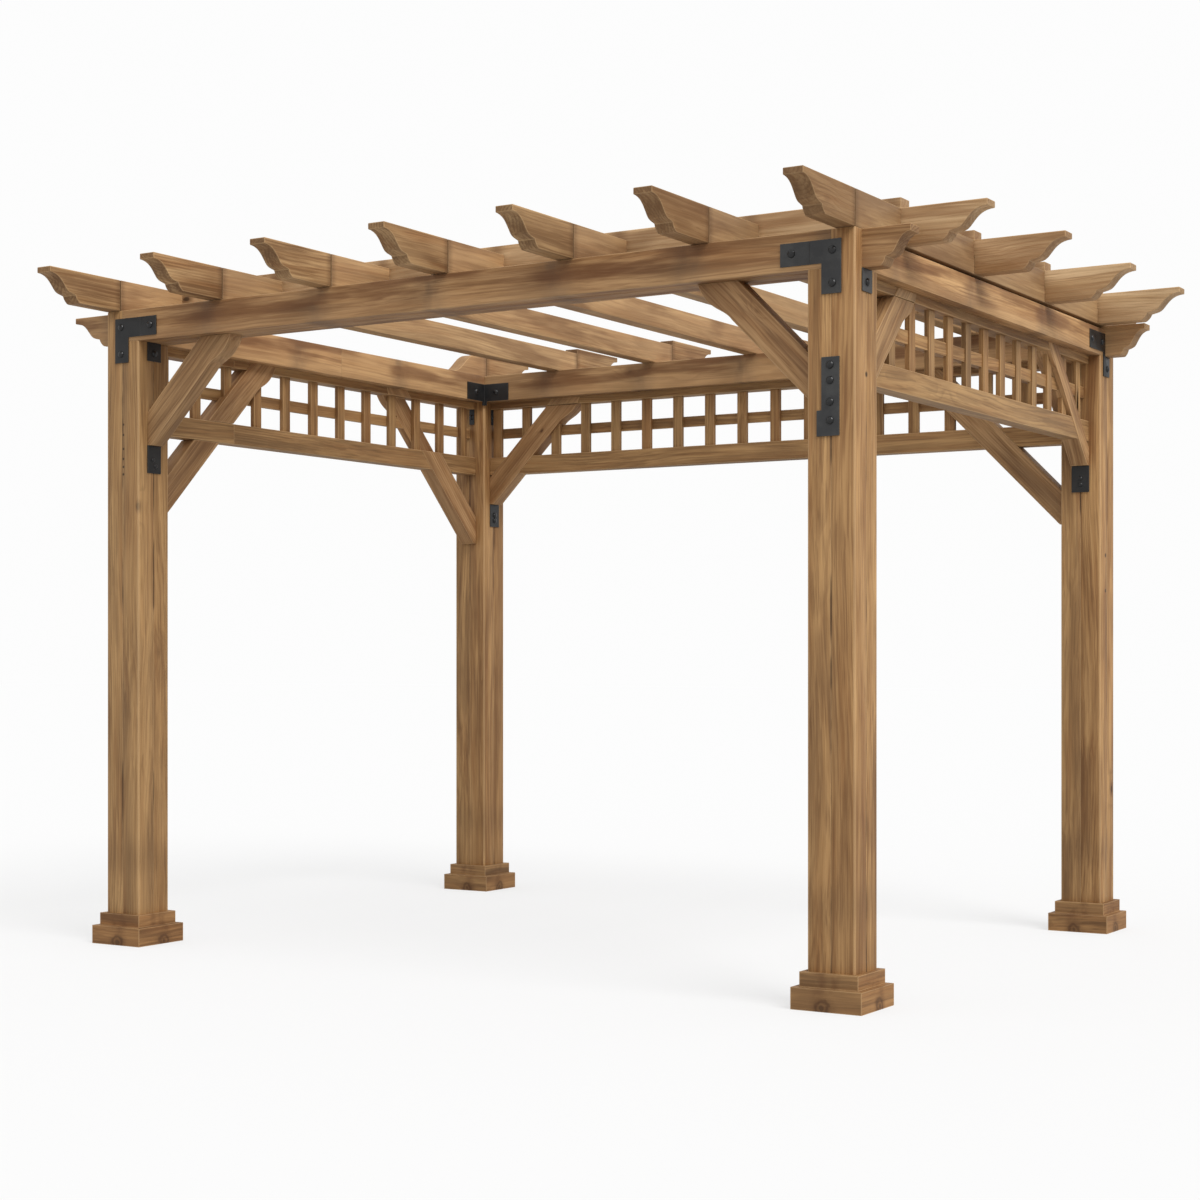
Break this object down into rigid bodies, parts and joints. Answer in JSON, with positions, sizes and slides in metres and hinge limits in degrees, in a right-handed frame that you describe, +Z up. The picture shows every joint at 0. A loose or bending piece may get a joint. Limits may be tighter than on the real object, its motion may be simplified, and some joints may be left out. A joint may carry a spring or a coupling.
{
  "type": "garden pergola",
  "caption": "Timber garden pergola with square posts on stepped bases, shaped rafter tails, knee braces, lattice panels on the sides and rear, and black steel brackets.",
  "frame": {"origin": "on the floor, under the middle of the whole outline", "axes": "+X along the front from the left post to the right one, -Y out of the open front, +Z up"},
  "size_m": [3.384, 2.92, 2.36],
  "materials": {
    "post_timber": "stained softwood, long grain, matte",
    "base_timber": "stained softwood, slightly darker, matte",
    "beam_timber": "stained softwood, long grain, matte",
    "rafter_timber": "stained softwood, long grain, matte",
    "brace_timber": "stained softwood, grain along the brace, matte",
    "lattice_timber": "stained softwood battens, matte",
    "black_steel": "powder coated, matte dark grey to black"
  },
  "bodies": {
    "root": {"beam_front": "beam_timber", "beam_left": "beam_timber", "beam_rear": "beam_timber", "beam_right": "beam_timber", "brace_front_left": "brace_timber", "brace_front_right": "brace_timber", "brace_left_front": "brace_timber", "brace_left_rear": "brace_timber", "brace_rear_left": "brace_timber", "brace_rear_right": "brace_timber", "brace_right_front": "brace_timber", "brace_right_rear": "brace_timber", "brackets_front_left": "black_steel", "brackets_front_right": "black_steel", "brackets_rear_left": "black_steel", "brackets_rear_right": "black_steel", "collar_front_left": "base_timber", "collar_front_right": "base_timber", "collar_rear_left": "base_timber", "collar_rear_right": "base_timber", "lattice_left": "lattice_timber", "lattice_rear": "lattice_timber", "lattice_right": "lattice_timber", "lookout_1": "rafter_timber", "lookout_2": "rafter_timber", "lookout_3": "rafter_timber", "plinth_front_left": "base_timber", "plinth_front_right": "base_timber", "plinth_rear_left": "base_timber", "plinth_rear_right": "base_timber", "post_front_left": "post_timber", "post_front_right": "post_timber", "post_rear_left": "post_timber", "post_rear_right": "post_timber", "purlin_front": "rafter_timber", "rafter_1": "rafter_timber", "rafter_2": "rafter_timber", "rafter_3": "rafter_timber", "rafter_4": "rafter_timber", "rafter_5": "rafter_timber", "rafter_6": "rafter_timber", "rafter_7": "rafter_timber", "rails_left": "lattice_timber", "rails_rear": "lattice_timber", "rails_right": "lattice_timber"}
  },
  "joints": []
}
